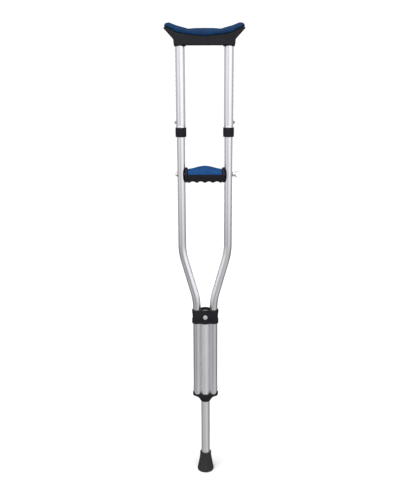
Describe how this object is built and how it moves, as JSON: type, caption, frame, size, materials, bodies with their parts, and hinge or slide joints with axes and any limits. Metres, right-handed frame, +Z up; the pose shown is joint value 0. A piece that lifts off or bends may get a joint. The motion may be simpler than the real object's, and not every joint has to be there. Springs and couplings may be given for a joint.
{
  "type": "underarm crutch",
  "caption": "Adjustable aluminium underarm crutch: padded saddle on sliding upper tubes, bow frame with a cushioned handgrip, and a push-button leg with a flared rubber tip.",
  "frame": {"origin": "centre of the rubber tip's flat sole, which stands on the ground", "axes": "+Z up along the crutch, X across it from bow tube to bow tube, -Y towards its front, where the lock button is"},
  "size_m": [0.21, 0.0498, 1.314],
  "materials": {
    "bright_aluminium": "bright anodised, drawn along its length",
    "satin_aluminium": "satin anodised",
    "black_plastic": "fine-grained moulded plastic",
    "pad_cover": "soft dark blue foam rubber skin",
    "grip_cushion": "soft blue foam rubber skin",
    "grey_plastic": "matte",
    "button_metal": "plated, lightly polished",
    "zinc_steel": "zinc plated",
    "black_steel": "blackened steel",
    "tip_rubber": "matte moulded rubber"
  },
  "bodies": {
    "frame": {"bow_tube_left": "bright_aluminium", "bow_tube_right": "bright_aluminium", "bow_end_plug_left": "black_plastic", "bow_end_plug_right": "black_plastic", "snap_spring_left": "zinc_steel", "snap_spring_right": "zinc_steel", "yoke": "black_plastic", "yoke_rivet_left": "black_steel", "yoke_rivet_right": "black_steel", "lower_clamp": "black_plastic", "clamp_rivet_left": "zinc_steel", "clamp_rivet_right": "zinc_steel"},
    "upper_section": {"underarm_base": "black_plastic", "underarm_pad": "pad_cover", "upper_tube_left": "bright_aluminium", "upper_tube_right": "bright_aluminium", "tube_collar_left": "black_plastic", "tube_collar_right": "black_plastic"},
    "handgrip": {"grip_core": "zinc_steel", "grip_body": "black_plastic", "grip_pad": "grip_cushion", "grip_end_cap_left": "black_plastic", "grip_end_cap_right": "black_plastic", "grip_washer_left": "zinc_steel", "grip_washer_right": "zinc_steel", "grip_bolt": "zinc_steel"},
    "wing_nut": {"wing_nut": "zinc_steel"},
    "snap_button_left": {"snap_button_left": "grey_plastic"},
    "snap_button_right": {"snap_button_right": "grey_plastic"},
    "leg": {"leg_tube": "satin_aluminium", "leg_end_cap": "grey_plastic", "lock_spring": "zinc_steel", "tip_washer": "zinc_steel", "rubber_tip": "tip_rubber"},
    "lock_button": {"lock_button": "button_metal"}
  },
  "joints": [
    {"name": "underarm_height", "type": "slide", "parent": "frame", "child": "upper_section", "axis": [0, 0, 1], "range_m": [-0.0762, 0]},
    {"name": "handgrip_height", "type": "slide", "parent": "frame", "child": "handgrip", "axis": [0, 0, 1], "range_m": [-0.1524, 0]},
    {"name": "leg_slide", "type": "slide", "parent": "frame", "child": "leg", "axis": [0, 0, 1], "range_m": [0, 0.173]},
    {"name": "snap_button_left_press", "type": "slide", "parent": "frame", "child": "snap_button_left", "axis": [1, 0, 0], "range_m": [0, 0.0048], "stiffness_N_per_m": 1500, "deforming": ["snap_spring_left"]},
    {"name": "snap_button_right_press", "type": "slide", "parent": "frame", "child": "snap_button_right", "axis": [-1, 0, 0], "range_m": [0, 0.0048], "stiffness_N_per_m": 1500, "deforming": ["snap_spring_right"]},
    {"name": "lock_button_press", "type": "slide", "parent": "leg", "child": "lock_button", "axis": [0, 1, 0], "range_m": [0, 0.0036], "stiffness_N_per_m": 2000, "deforming": ["lock_spring"]},
    {"name": "wing_nut_turn", "type": "hinge", "parent": "handgrip", "child": "wing_nut", "pos_m": [0.0775, 0, 0.92], "axis": [1, 0, 0], "continuous": true}
  ]
}
